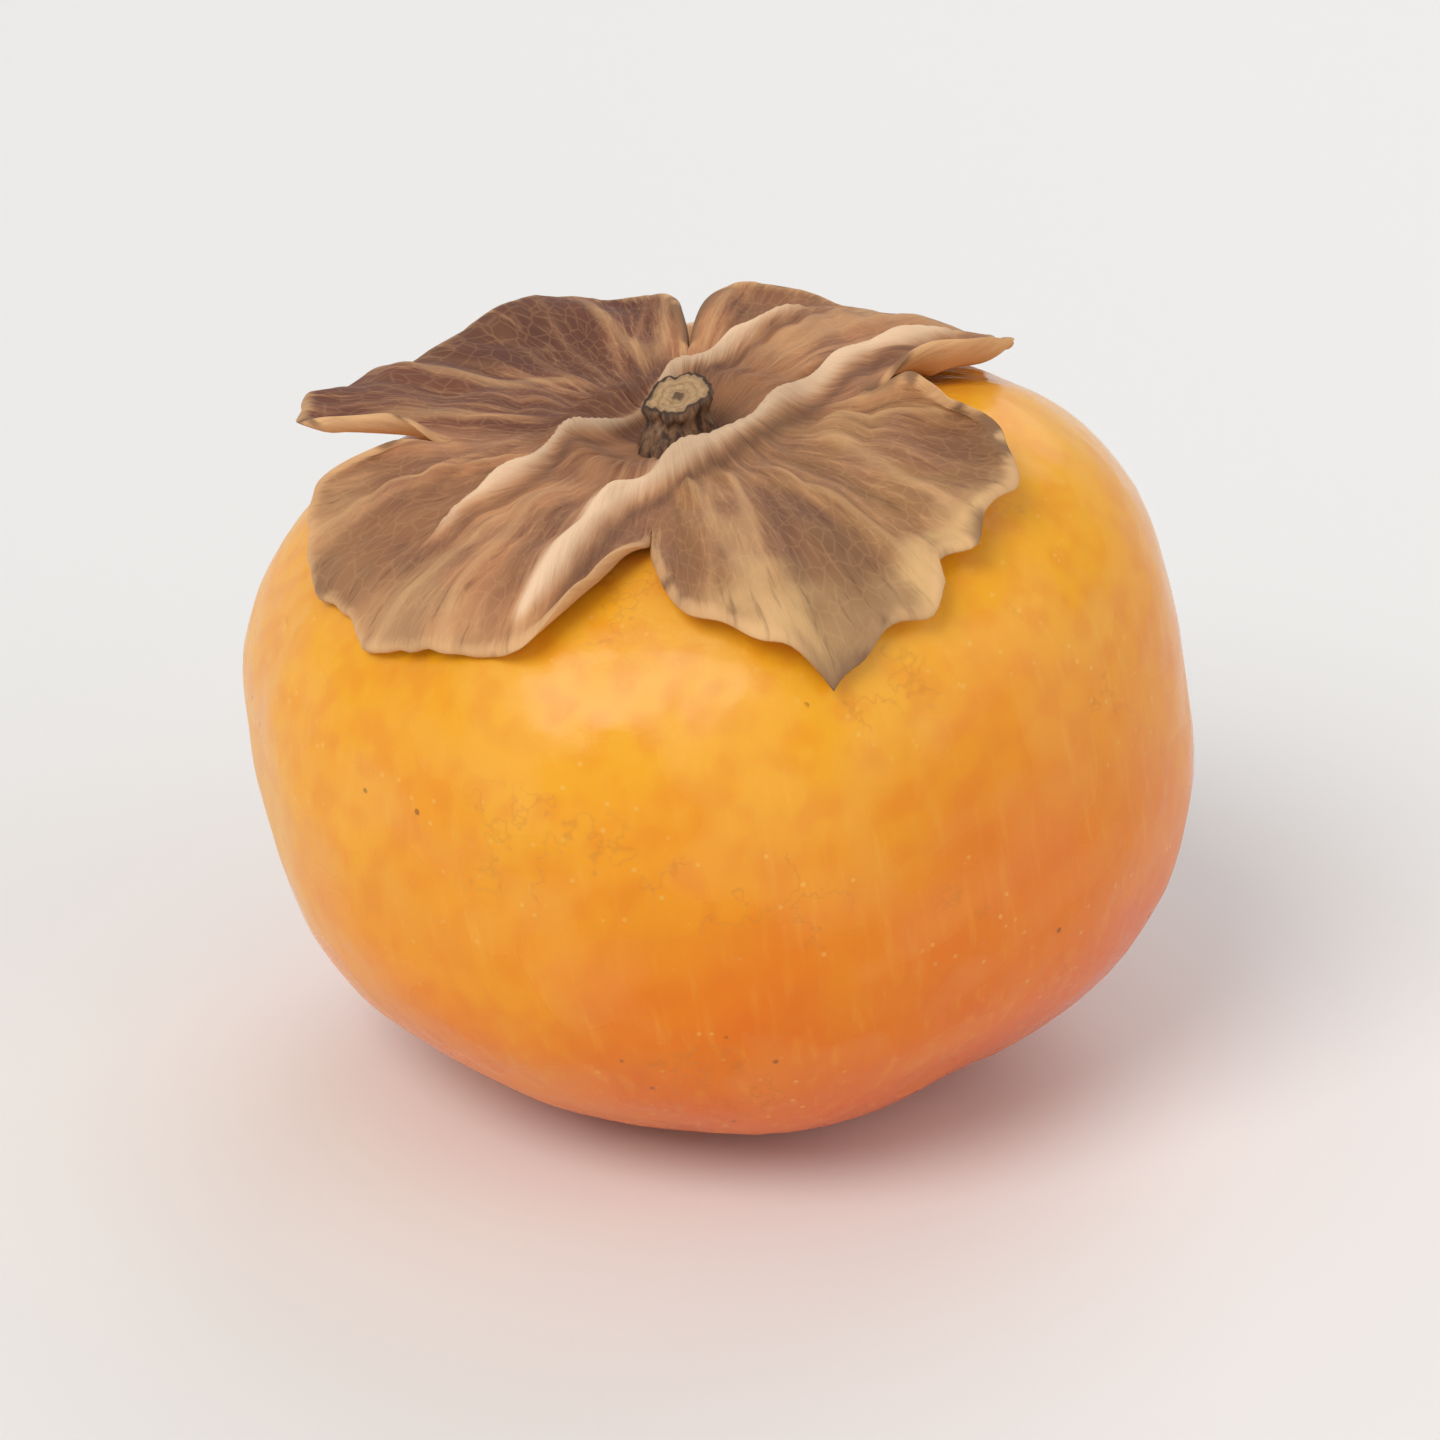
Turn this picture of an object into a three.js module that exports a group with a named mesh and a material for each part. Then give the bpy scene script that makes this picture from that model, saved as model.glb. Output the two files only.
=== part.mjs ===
// A persimmon of the squat, four-sided kind that is sold as sharon fruit, as it is picked: the berry,
// the dry four-lobed calyx on its crown, the clipped stub of its stem, and the black remnant of the
// style in the dimple at its blossom end. It stands on the blossom end, leaning a little, on a small
// flat spot. Millimetres, +Z up, with the origin on the surface under the middle of the fruit.
import * as THREE from "three";

// The berry. Its flats face the way the calyx lobes point, and its four soft corners stand between.
const WIDTH_ACROSS_FLATS = 66;
const WIDTH_ACROSS_CORNERS = 69.5;
const EQUATOR_TO_CROWN = 25; // from the widest level up to the shoulder
const EQUATOR_TO_BLOSSOM_END = 26.5; // from the widest level down to the apex
const CROWN_FULLNESS = 3.3; // exponents of the side's superellipse: 2 is an ellipse
const BLOSSOM_FULLNESS = 2.35;
const BASIN_DEPTH = 3.2; // the hollow that the calyx sits in
const BASIN_RADIUS = 9;
const DIMPLE_DEPTH = 2.8; // the pit at the apex
const DIMPLE_RADIUS = 2.7;
const FURROW_DEPTH = 0.9; // the four furrows that meet at the apex
const FURROW_HALF_WIDTH = 1.5;
const FURROW_SPREAD = 0.12; // how much wider it gets for each millimetre away from the apex
const FURROW_REACH = 27;
const SHOULDER_SWELL = 0.9; // the rise of each corner beside the calyx
const SHOULDER_RADIUS = 21;
const SHOULDER_BREADTH = 7;
const SQUARE_FROM = 0.6; // the share of the girth's radius past which the outline is fully square
// Each row is a slow bulge round the girth: how many waves, its share of the radius, and its angle.
const GIRTH_WAVES = [
  { waves: 1, share: 0.01, angle: 200 },
  { waves: 2, share: 0.009, angle: 20 },
  { waves: 3, share: 0.007, angle: 75 },
  { waves: 5, share: 0.003, angle: 10 },
];

// How it stands.
const LEAN = 10; // degrees between the fruit's own axis and upright
const LEAN_TOWARDS = 207;
const OBLIQUENESS = 0.11; // how much shallower the blossom end is on the side that it leans to
const PRESS = 0.8; // how much of the lowest curve is pressed flat
const PRESS_BLEND = 0.25; // half the height over which the flat spot rounds into the skin

// The calyx: a thick disc that carries four lobes, which lie over the shoulders.
const FIRST_LOBE_ANGLE = 40;
const DISC_EDGE = 11.5; // where the disc passes into the lobes
const SEAT_GAP = 0.3; // between the calyx and the skin below it
const LOBE_THICKNESS = 0.9;
const RIM_TAPER = 0.6; // how much of that is left at the lobe's edge
const DISC_EXTRA_THICKNESS = 1.5;
const DISC_RADIUS = 5; // the disc is full thickness up to here
const DISC_BLEND = 3; // how far past its edge it thins to the lobes' thickness
const RIDGE_RADIUS = 7.8; // the low ring that the lobes rise from
const RIDGE_BREADTH = 1.7;
const RIDGE_RISE = 0.9;
const SOCKET_RADIUS = 2.7; // the hole that the stem's foot stands in
const SOCKET_FLOOR = 0.8;
const LOBE_ARCH = 0.7; // how far each half of a lobe bulges up beside its middle line
const ARCH_FROM = 8; // from where outwards it does, and by where it does so fully
const ARCH_FULL = 14;
const TIP_BAND = 8; // how far in from its end a lobe's tip turns up
const NOTCH_BAND = 4; // how far inside the notch its edges begin to turn up
const RIPPLES = 5; // the ripple's angle at a lobe's side, in radians
// A lobe's outline: round shoulders beside the notches, a taper towards them, and a sharp tip.
const BLADE_POWER = 7;
const BLADE_ROOT = 0.55;
const BLADE_TAPER = 0.28;
const POINT_BREADTH = 0.14; // how much of the lobe's half width the sharp tip takes up
// reach is the tip's distance from the axis, and point the share of it that is the tip's sharp end.
// skew is how far the tip is off the lobe's middle line, as a share of the way to a notch.
// sinus is how near to the axis the notch before the lobe reaches.
// tip is how far the tip turns up, and notch how far the edges do beside the notch before the lobe.
const LOBES = [
  {
    reach: 28.6, breadth: 1.0, point: 0.1, skew: 0, sinus: 14.5,
    tip: 0.8, notch: 2.0, wave: 0.4, phase: 0.4,
  },
  {
    reach: 29.8, breadth: 1.2, point: 0.08, skew: 0.34, sinus: 12.5,
    tip: 5.5, notch: 1.6, wave: 0.45, phase: 2.1,
  },
  {
    reach: 28.6, breadth: 1.6, point: 0.03, skew: -0.05, sinus: 16.5,
    tip: 0.6, notch: 1.4, wave: 0.35, phase: 4,
  },
  {
    reach: 30.9, breadth: 0.95, point: 0.16, skew: -0.5, sinus: 18.5,
    tip: 1.0, notch: 2.0, wave: 0.4, phase: 5.2,
  },
];

// The stem's stub, from its foot in the calyx up to the slanted cut.
const STEM_LENGTH = 3.6; // above the calyx's disc
const STEM_RADIUS = 2.1;
const STEM_COLLAR = 0.45; // how much the foot and the cut end swell
const STEM_BEND = 0.6; // how far the cut end stands off the axis
const STEM_CUT_SLANT = 0.22;
const STEM_RIBS = 5;
const RIB_DEPTH = 0.05; // as a share of the radius
const FOOT_GAP = 0.3; // between the stem's foot and the socket's floor
const FOOT_INSET = 0.4; // and between its side and the socket's wall

// The style's remnant, a small black point that hangs in the dimple.
const STYLE_LENGTH = 1.7;
const STYLE_RADIUS = 0.9;
const STYLE_GAP = 0.3;

// How finely each surface is cut into triangles.
const SKIN_COLUMNS = 72;
const SKIN_ROWS = 44;
const POLE_CROWDING = 0.7; // 0 spaces the rows evenly; nearer 1 gathers them at the two ends
const LOBE_COLUMNS = 18;
const DISC_RINGS = [4.3, 6, RIDGE_RADIUS, 9.3]; // their radii, out to where the lobes begin
const LOBE_ROWS = 8;
const STEM_COLUMNS = 20;
const STYLE_COLUMNS = 12;

const COLOURS = {
  fruit: { color: 0xec9d2b, roughness: 0.35, metalness: 0 },
  calyx: { color: 0x9a7357, roughness: 0.85, metalness: 0 },
  stem: { color: 0x6b4a33, roughness: 0.9, metalness: 0 },
  style: { color: 0x1d1512, roughness: 0.8, metalness: 0 },
};

const radians = THREE.MathUtils.degToRad;
const { lerp, smoothstep } = THREE.MathUtils;
const bell = (x) => Math.exp(-x * x);
const between = (low, high, count) =>
  Array.from({ length: count + 1 }, (_, i) => lerp(low, high, i / count));

// A closed surface through rings of points. rings[0] and the last ring are single points, the poles;
// the others hold one point for each column, anticlockwise seen from the last pole.
function surfaceThrough(rings) {
  const columns = rings[1].length;
  const positions = rings.flat().flatMap((p) => [p.x, p.y, p.z]);
  const faces = [];
  const start = (ring) => 1 + (ring - 1) * columns;
  const top = start(rings.length - 1);
  for (let c = 0; c < columns; c++) {
    const next = (c + 1) % columns;
    faces.push(0, start(1) + next, start(1) + c);
    for (let r = 1; r < rings.length - 2; r++) {
      const [a, b] = [start(r) + c, start(r) + next];
      const [d, e] = [start(r + 1) + c, start(r + 1) + next];
      faces.push(a, b, e, a, e, d);
    }
    faces.push(top - columns + c, top - columns + next, top);
  }
  const geometry = new THREE.BufferGeometry();
  geometry.setAttribute("position", new THREE.Float32BufferAttribute(positions, 3));
  geometry.setIndex(faces);
  geometry.computeVertexNormals();
  return geometry;
}

function meshOf(name, geometry, finish) {
  const mesh = new THREE.Mesh(geometry, new THREE.MeshStandardMaterial(finish));
  mesh.name = name;
  return mesh;
}

// The berry's skin, in the fruit's own frame: its axis is Z and its widest level is z = 0.

// How far round, in radians, an angle is from the nearest lobe's middle line.
function offLobeLine(phi) {
  const quarter = Math.PI / 2;
  const turned = phi - radians(FIRST_LOBE_ANGLE);
  return turned - quarter * Math.round(turned / quarter);
}

// How square the outline is where the surface is this share of the way from the axis to the girth.
const squareness = (share) => smoothstep(share, 0, SQUARE_FROM);

// The girth's radius at an angle: a rounded square, with the slow bulges of a grown thing.
function girth(phi, square) {
  const ratio = WIDTH_ACROSS_CORNERS / WIDTH_ACROSS_FLATS;
  const power = 1 / (0.5 - Math.log2(ratio));
  const off = offLobeLine(phi);
  const corners = (Math.cos(off) ** power + Math.abs(Math.sin(off)) ** power) ** (-1 / power);
  const waves = GIRTH_WAVES.map((w) => w.share * Math.cos(w.waves * (phi - radians(w.angle))));
  return (WIDTH_ACROSS_FLATS / 2) * lerp(1, corners, square) * waves.reduce((sum, x) => sum + x, 1);
}

// What stands proud of the plain form (or, below zero, is sunk in it), at a distance from the axis.
function skinRelief(radius, phi, isCrown) {
  const off = offLobeLine(phi);
  if (isCrown) {
    const corner = (1 - Math.cos(4 * off)) / 2;
    const swell = SHOULDER_SWELL * corner * bell((radius - SHOULDER_RADIUS) / SHOULDER_BREADTH);
    return swell - BASIN_DEPTH * bell(radius / BASIN_RADIUS);
  }
  const halfWidth = FURROW_HALF_WIDTH + FURROW_SPREAD * radius;
  const fade = 1 - smoothstep(radius, FURROW_REACH / 4, FURROW_REACH);
  const furrow = FURROW_DEPTH * fade * bell((radius * Math.sin(off)) / halfWidth);
  return -furrow - DIMPLE_DEPTH * bell(radius / DIMPLE_RADIUS);
}

// The skin at a latitude (-90 degrees is the apex and 90 the crown) and an angle round the axis.
function skinAt(latitude, phi) {
  const isCrown = latitude >= 0;
  const fullness = isCrown ? CROWN_FULLNESS : BLOSSOM_FULLNESS;
  const height = isCrown ? EQUATOR_TO_CROWN : EQUATOR_TO_BLOSSOM_END;
  const [c, s] = [Math.cos(latitude), Math.sin(latitude)].map(Math.abs);
  const share = c ** (2 / fullness);
  const wide = girth(phi, squareness(share));
  const radius = wide * share;
  const rise = s ** (2 / fullness);
  const shallow = 1 - OBLIQUENESS * share * Math.cos(phi - radians(LEAN_TOWARDS));
  const stretch = isCrown ? 1 : -shallow;
  const slope = new THREE.Vector2(share ** (fullness - 1) / wide, rise ** (fullness - 1) / height);
  slope.normalize().multiplyScalar(skinRelief(radius, phi, isCrown));
  const r = radius + slope.x;
  return new THREE.Vector3(r * Math.cos(phi), r * Math.sin(phi), stretch * (height * rise + slope.y));
}

// The skin of the crown, and the way that it faces, under a point given by its distance from the axis.
function crownUnder(radius, phi) {
  const at = (r) => {
    const wide = girth(phi, squareness(r / (WIDTH_ACROSS_FLATS / 2)));
    return skinAt(Math.acos(Math.min(1, r / wide) ** (CROWN_FULLNESS / 2)), phi);
  };
  const step = 0.05;
  const here = at(radius);
  const along = at(radius + step).sub(here);
  const round = new THREE.Vector3(-Math.sin(phi), Math.cos(phi), 0);
  return { here, facing: along.cross(round).normalize() };
}

// The lean, as a turn that carries the fruit's own upright axis towards LEAN_TOWARDS.
const towards = radians(LEAN_TOWARDS);
const leanTurn = new THREE.Quaternion().setFromAxisAngle(
  new THREE.Vector3(-Math.sin(towards), Math.cos(towards), 0),
  radians(LEAN),
);

// Presses whatever is below the surface flat onto it, with a rounded edge.
function pressed(z) {
  if (z >= PRESS_BLEND) return z;
  return z <= -PRESS_BLEND ? 0 : (z + PRESS_BLEND) ** 2 / (4 * PRESS_BLEND);
}

function skinRings() {
  const columns = between(0, 2 * Math.PI, SKIN_COLUMNS).slice(0, -1);
  const latitudes = between(0, 1, SKIN_ROWS).map((u) => {
    const crowded = u - (POLE_CROWDING * Math.sin(2 * Math.PI * u)) / (2 * Math.PI);
    return Math.PI * (crowded - 0.5);
  });
  const inner = latitudes.slice(1, -1).map((lat) => columns.map((phi) => skinAt(lat, phi)));
  return [[skinAt(-Math.PI / 2, 0)], ...inner, [skinAt(Math.PI / 2, 0)]];
}

// The rings leaned over, and how far up they go to leave PRESS of their lowest curve below z = 0.
const leanedRings = skinRings().map((ring) => ring.map((p) => p.applyQuaternion(leanTurn)));
const lowest = Math.min(...leanedRings.flat().map((p) => p.z));
const standingHeight = -lowest - PRESS;

function makeFruit() {
  const rings = leanedRings.map((ring) =>
    ring.map((p) => new THREE.Vector3(p.x, p.y, pressed(p.z + standingHeight))),
  );
  return meshOf("fruit", surfaceThrough(rings), COLOURS.fruit);
}

// The calyx, in the fruit's own frame.

// How far along a lobe's edge a point is, from its tip (0) to the notch on that side (1), where across
// runs from one notch (-1) to the other (1).
function offTip(lobe, across) {
  const past = across - lobe.skew;
  return Math.abs(past) / (1 - lobe.skew * Math.sign(past));
}

// The edge's distance from the axis there. The tip is a short point on a broad, rounded blade.
function lobeEdge({ lobe, sinus, off }) {
  const taper = 1 - (BLADE_TAPER / lobe.breadth) * off;
  const blade = (1 - off ** BLADE_POWER) ** BLADE_ROOT * taper;
  const point = Math.exp(-off / POINT_BREADTH);
  return sinus + (lobe.reach - sinus) * lerp(blade, point, lobe.point);
}

// How far the underside of a lobe stands off the skin, beyond the gap.
function lobeLift({ lobe, sinus, notch, share, side, off }, radius, edge) {
  const out = smoothstep(radius, DISC_EDGE, lobe.reach);
  const nearTip = bell((edge - radius) / TIP_BAND) * (1 - off ** 2);
  const nearNotch = share ** 3 * smoothstep(radius, sinus - NOTCH_BAND, sinus + DISC_BLEND);
  const turnUp = lobe.tip * nearTip * out + notch * nearNotch;
  const arch = LOBE_ARCH * Math.sin(Math.PI * share) * smoothstep(radius, ARCH_FROM, ARCH_FULL);
  const ripple = lobe.wave * out * Math.sin(RIPPLES * side * share + lobe.phase);
  return Math.max(0, turnUp + arch + ripple * Math.max(nearTip, nearNotch));
}

// The disc's extra thickness: a hollow round the stem, a low ring, then thin lobes.
function discThickness(radius) {
  const body = DISC_EXTRA_THICKNESS * (1 - smoothstep(radius, DISC_RADIUS, DISC_EDGE + DISC_BLEND));
  return body + RIDGE_RISE * bell((radius - RIDGE_RADIUS) / RIDGE_BREADTH);
}

function makeCalyx() {
  const columns = LOBES.flatMap((lobe, i) =>
    between(-1, 1, LOBE_COLUMNS)
      .slice(0, -1)
      .map((t) => {
        const share = Math.sin((Math.PI / 2) * Math.abs(t));
        const side = Math.sign(t);
        const phi = radians(FIRST_LOBE_ANGLE + 90 * i + 45 * share * side);
        const { sinus, notch } = side < 0 ? lobe : LOBES[(i + 1) % 4];
        return { lobe, sinus, notch, share, side, phi, off: offTip(lobe, share * side) };
      }),
  );
  const upright = new THREE.Vector3(0, 0, 1);
  // The radii of the rings: the socket's foot and brim, those over the disc, and the lobe's own.
  const brim = SOCKET_RADIUS;
  const lobesFrom = DISC_EDGE - 0.6;
  const radiiOf = (edge) => [brim - 0.1, brim, ...DISC_RINGS, ...between(lobesFrom, edge, LOBE_ROWS)];
  const sheet = (isTop) =>
    radiiOf(DISC_EDGE).map((_, ring) =>
      columns.map((column) => {
        const edge = lobeEdge(column);
        const radius = radiiOf(edge)[ring];
        const { here, facing } = crownUnder(radius, column.phi);
        const onLobe = smoothstep(radius, RIDGE_RADIUS, DISC_EDGE + DISC_BLEND);
        facing.lerp(upright, 1 - onLobe).normalize();
        const under = SEAT_GAP + lobeLift(column, radius, edge);
        const thick = ring === 0 ? SOCKET_FLOOR : LOBE_THICKNESS + discThickness(radius);
        const taper = radius === edge ? RIM_TAPER : 1;
        return here.addScaledVector(facing, under + (isTop ? thick * taper : 0));
      }),
    );
  const middle = crownUnder(0.01, 0).here;
  const pole = (up) => new THREE.Vector3(0, 0, middle.z + up);
  const rings = [
    [pole(SEAT_GAP)],
    ...sheet(false).slice(2),
    ...sheet(true).reverse(),
    [pole(SEAT_GAP + SOCKET_FLOOR)],
  ];
  return meshOf("calyx", surfaceThrough(rings), COLOURS.calyx);
}

// The stem's stub, in the fruit's own frame.
function makeStem() {
  const floor = crownUnder(0.01, 0).here.z + SEAT_GAP + SOCKET_FLOOR;
  const foot = floor + FOOT_GAP;
  const brim = floor + DISC_EXTRA_THICKNESS;
  const end = brim + STEM_LENGTH;
  const angles = between(0, 2 * Math.PI, STEM_COLUMNS).slice(0, -1);
  const middleAt = (z) => {
    const up = smoothstep(z, foot, end);
    return new THREE.Vector3(STEM_BEND * up ** 2, STEM_BEND * 0.4 * up, z);
  };
  // Where the stem swells: just above the brim, and at the cut.
  const collar = (z) => bell((z - brim - 0.8) / 1.1) + bell((z - end + 0.3) / 0.9);
  const ring = (z, inset) => {
    const up = (z - foot) / (end - foot);
    const centre = middleAt(z);
    return angles.map((a) => {
      const ribs = 1 + RIB_DEPTH * Math.cos(STEM_RIBS * a + 2 * up);
      const free = STEM_RADIUS * ribs + STEM_COLLAR * collar(z);
      const r = inset * (z < brim ? SOCKET_RADIUS - FOOT_INSET : free);
      const slant = STEM_CUT_SLANT * r * Math.cos(a - 1) * smoothstep(up, 0.6, 1);
      return new THREE.Vector3(centre.x + r * Math.cos(a), centre.y + r * Math.sin(a), z + slant);
    });
  };
  const sides = [foot, brim - 0.1, ...between(brim + 0.3, end - 0.3, 7)].map((z) => ring(z, 1));
  const rings = [
    [middleAt(foot)],
    ...sides,
    ring(end, 0.86),
    ring(end - 0.1, 0.5),
    [middleAt(end - 0.25)],
  ];
  return meshOf("stem", surfaceThrough(rings), COLOURS.stem);
}

// The style's remnant, in the fruit's own frame: a blunt black point on the floor of the dimple.
function makeStyle() {
  const root = skinAt(-Math.PI / 2, 0).z - STYLE_GAP;
  const angles = between(0, 2 * Math.PI, STYLE_COLUMNS).slice(0, -1);
  const ring = (down, r) =>
    angles.map((a) => {
      const cross = r * (1 + 0.15 * Math.cos(4 * a));
      return new THREE.Vector3(cross * Math.cos(a), cross * Math.sin(a), root - down);
    });
  // Its outline, from the tip to the root: shares of its length and of its radius.
  const outline = [[0.94, 0.3], [0.6, 0.5], [0.4, 0.65], [0.25, 1]];
  const rings = [
    [new THREE.Vector3(0, 0, root - STYLE_LENGTH)],
    ...outline.map(([down, wide]) => ring(STYLE_LENGTH * down, STYLE_RADIUS * wide)),
    [new THREE.Vector3(0, 0, root)],
  ];
  return meshOf("style_remnant", surfaceThrough(rings), COLOURS.style);
}

// What grows on the fruit leans with it.
const leaning = new THREE.Group();
leaning.add(makeCalyx(), makeStem(), makeStyle());
leaning.quaternion.copy(leanTurn);
leaning.position.z = standingHeight;

const persimmon = new THREE.Group();
persimmon.add(makeFruit(), leaning);

// The origin goes under the middle of the whole fruit.
const middle = new THREE.Box3().setFromObject(persimmon).getCenter(new THREE.Vector3());
persimmon.position.set(-middle.x, -middle.y, 0);

const part = new THREE.Group();
part.add(persimmon);
export default part;
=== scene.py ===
"""A persimmon of the squat, four-sided kind that is sold as sharon fruit, as it is picked.

The solids say how large each piece is and where it stands. This script builds the surfaces that are
seen: the waxy skin, the dry calyx with its veins, creases and rolled edges, the clipped stub of the
stem and the shrivelled style, each from the same formulas as its solid, with finer form on top.
Lengths are in metres, and angles in radians unless a comment says otherwise.
"""

import math
from types import SimpleNamespace

import bpy
import numpy as np
from mathutils import Matrix, Vector


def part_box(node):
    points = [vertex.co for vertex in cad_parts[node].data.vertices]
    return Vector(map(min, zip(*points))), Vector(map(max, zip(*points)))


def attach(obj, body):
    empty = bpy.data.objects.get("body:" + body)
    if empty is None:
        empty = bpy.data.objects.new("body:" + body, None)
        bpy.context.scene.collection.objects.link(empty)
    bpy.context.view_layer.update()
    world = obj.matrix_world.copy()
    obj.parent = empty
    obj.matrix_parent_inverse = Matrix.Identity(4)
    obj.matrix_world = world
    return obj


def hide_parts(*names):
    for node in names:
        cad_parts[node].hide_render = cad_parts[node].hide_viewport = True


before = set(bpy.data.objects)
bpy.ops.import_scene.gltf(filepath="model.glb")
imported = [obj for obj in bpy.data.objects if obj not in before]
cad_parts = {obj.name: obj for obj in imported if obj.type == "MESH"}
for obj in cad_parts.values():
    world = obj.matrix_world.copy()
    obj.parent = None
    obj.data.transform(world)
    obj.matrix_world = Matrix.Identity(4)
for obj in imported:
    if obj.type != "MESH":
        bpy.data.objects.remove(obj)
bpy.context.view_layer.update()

MM = 0.001
TAU = math.tau
QUARTER = math.pi / 2

# The fruit's form, as its solid has it.
WIDTH_ACROSS_FLATS = 66 * MM
WIDTH_ACROSS_CORNERS = 69.5 * MM
EQUATOR_TO_CROWN = 25 * MM
EQUATOR_TO_BLOSSOM_END = 26.5 * MM
CROWN_FULLNESS = 3.3
BLOSSOM_FULLNESS = 2.35
BASIN_DEPTH = 3.2 * MM
BASIN_RADIUS = 9 * MM
DIMPLE_DEPTH = 2.8 * MM
DIMPLE_RADIUS = 2.7 * MM
FURROW_DEPTH = 0.9 * MM
FURROW_HALF_WIDTH = 1.5 * MM
FURROW_SPREAD = 0.12
FURROW_REACH = 27 * MM
SHOULDER_SWELL = 0.9 * MM
SHOULDER_RADIUS = 21 * MM
SHOULDER_BREADTH = 7 * MM
SQUARE_FROM = 0.6
# Each wave's number round the fruit, its height as a share of the girth, and its angle in degrees.
GIRTH_WAVES = ((1, 0.01, 200), (2, 0.009, 20), (3, 0.007, 75), (5, 0.003, 10))

# How it stands.
LEAN = math.radians(10)
LEAN_TOWARDS = math.radians(207)
OBLIQUENESS = 0.11
PRESS = 0.8 * MM
PRESS_BLEND = 0.25 * MM

# The calyx, as its solid has it.
FIRST_LOBE_ANGLE = math.radians(40)
DISC_EDGE = 11.5 * MM
LOBE_THICKNESS = 0.9 * MM
DISC_EXTRA_THICKNESS = 1.5 * MM
DISC_RADIUS = 5 * MM
DISC_BLEND = 3 * MM
RIDGE_RADIUS = 7.8 * MM
RIDGE_BREADTH = 1.7 * MM
RIDGE_RISE = 0.9 * MM
SOCKET_RADIUS = 2.7 * MM
SOCKET_FLOOR = 0.8 * MM
LOBE_ARCH = 0.7 * MM
ARCH_FROM = 8 * MM
ARCH_FULL = 14 * MM
TIP_BAND = 8 * MM
NOTCH_BAND = 4 * MM
RIPPLES = 5
BLADE_POWER = 7
BLADE_ROOT = 0.55
BLADE_TAPER = 0.28
POINT_BREADTH = 0.14
# "sinus" and "notch" are how far out the notch on a lobe's clockwise side is, and how far the edge
# lifts there. "rolls" is how far the clockwise edge, the tip and the other edge roll up. "dark",
# "green" and "bleached" are how far the lobe's colour goes that way.
LOBES = (
    {"reach": 28.6 * MM, "breadth": 1.0, "point": 0.1, "skew": 0.0, "sinus": 14.5 * MM,
     "tip": 0.8 * MM, "notch": 2.0 * MM, "wave": 0.4 * MM, "phase": 0.4, "rolls": (2.2, 0.5, 0.8),
     "dark": 0.3, "green": 0.2, "bleached": 0.3},
    {"reach": 29.8 * MM, "breadth": 1.2, "point": 0.08, "skew": 0.34, "sinus": 12.5 * MM,
     "tip": 5.5 * MM, "notch": 1.6 * MM, "wave": 0.45 * MM, "phase": 2.1, "rolls": (0.8, 0.5, 1.8),
     "dark": 1.0, "green": 0.0, "bleached": 0.0},
    {"reach": 28.6 * MM, "breadth": 1.6, "point": 0.03, "skew": -0.05, "sinus": 16.5 * MM,
     "tip": 0.6 * MM, "notch": 1.4 * MM, "wave": 0.35 * MM, "phase": 4.0, "rolls": (1.6, -0.5, 2.2),
     "dark": 0.2, "green": 0.1, "bleached": 0.3},
    {"reach": 30.9 * MM, "breadth": 0.95, "point": 0.16, "skew": -0.5, "sinus": 18.5 * MM,
     "tip": 1.0 * MM, "notch": 2.0 * MM, "wave": 0.4 * MM, "phase": 5.2, "rolls": (0.8, 0.6, 2.2),
     "dark": 0.4, "green": 0.8, "bleached": 0.9},
)

# From here on is what only the fine surfaces have. A layer of noise is its strength, wavelength and
# seed and, where it isn't 24, its number of waves. A range is where something starts and where it
# is full.

# The skin.
SKIN_RELIEF = ((0.16 * MM, 21 * MM, 3), (0.05 * MM, 8 * MM, 4), (0.012 * MM, 2.2 * MM, 5, 40))
CALM_POLE_RANGE = (0.2 * MM, 3 * MM)
SKIN_PLEATS = 34  # where the skin turns in under the calyx and into the dimple
SKIN_PLEAT_DEPTH = 0.05 * MM
SKIN_PLEAT_RADIUS = 9 * MM
SKIN_PLEAT_BREADTH = 5 * MM
SKIN_PLEAT_RANGE = (1 * MM, 5 * MM)
RIPE_SIDE = (0.75, -0.45, -0.5)  # the cheek that has ripened furthest
RIPE_SIDE_RANGE = (0.3, 1.0)
RIPE_SIDE_TONE = 0.16
LEVEL_LAYERS = ((4 * MM, 30 * MM, 6), (1.6 * MM, 12 * MM, 7))
TONE_RANGE = (-34 * MM, 30 * MM)
WAX_LAYERS = ((1, 14 * MM, 8), (0.5, 5 * MM, 9))
WAX_RANGE = (-0.6, 1.2)
WEAR_LAYERS = ((1, 16 * MM, 10), (0.3, 6 * MM, 11))
WEAR_RANGE = (-1.5, 2)
MOTTLE_LAYERS = ((1, 3.6 * MM, 12, 40), (0.5, 1.8 * MM, 13, 40))

# The calyx's seat and its outline. Wavelengths along the edge are for a circle with a radius of 1.
CALYX_SEAT = 0.12 * MM  # between the lobes' undersides and the skin
SEAT_EASING = 0.2 * MM
DISC_SINK = 0.35 * MM  # how far the disc's underside is set into the skin
NOTCH_LIFT_LEFT = 0.35  # the share of the lift beside the notches that the rolls leave over
RIM_ROUNDING = 0.5 * MM
THIN_RIM = 0.12 * MM
RIM_SHARE_OF_THICKNESS = 0.75
EDGE_LAYERS = ((1, 0.24, 12), (0.25, 0.09, 13))
EDGE_RAGGEDNESS = 0.009  # as a share of the lobe's reach
EDGE_RAGGED_RANGE = (0, 6 * MM)  # beyond the notches
DISC_GAP = 0.3 * MM  # between the last ring of the disc and the first of the lobe
RUFFLE_LAYERS = ((1, 0.42, 24),)
RUFFLE_HEIGHT = 0.5 * MM  # the waves of the lobes' edges
RUFFLE_BAND = 4 * MM

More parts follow.
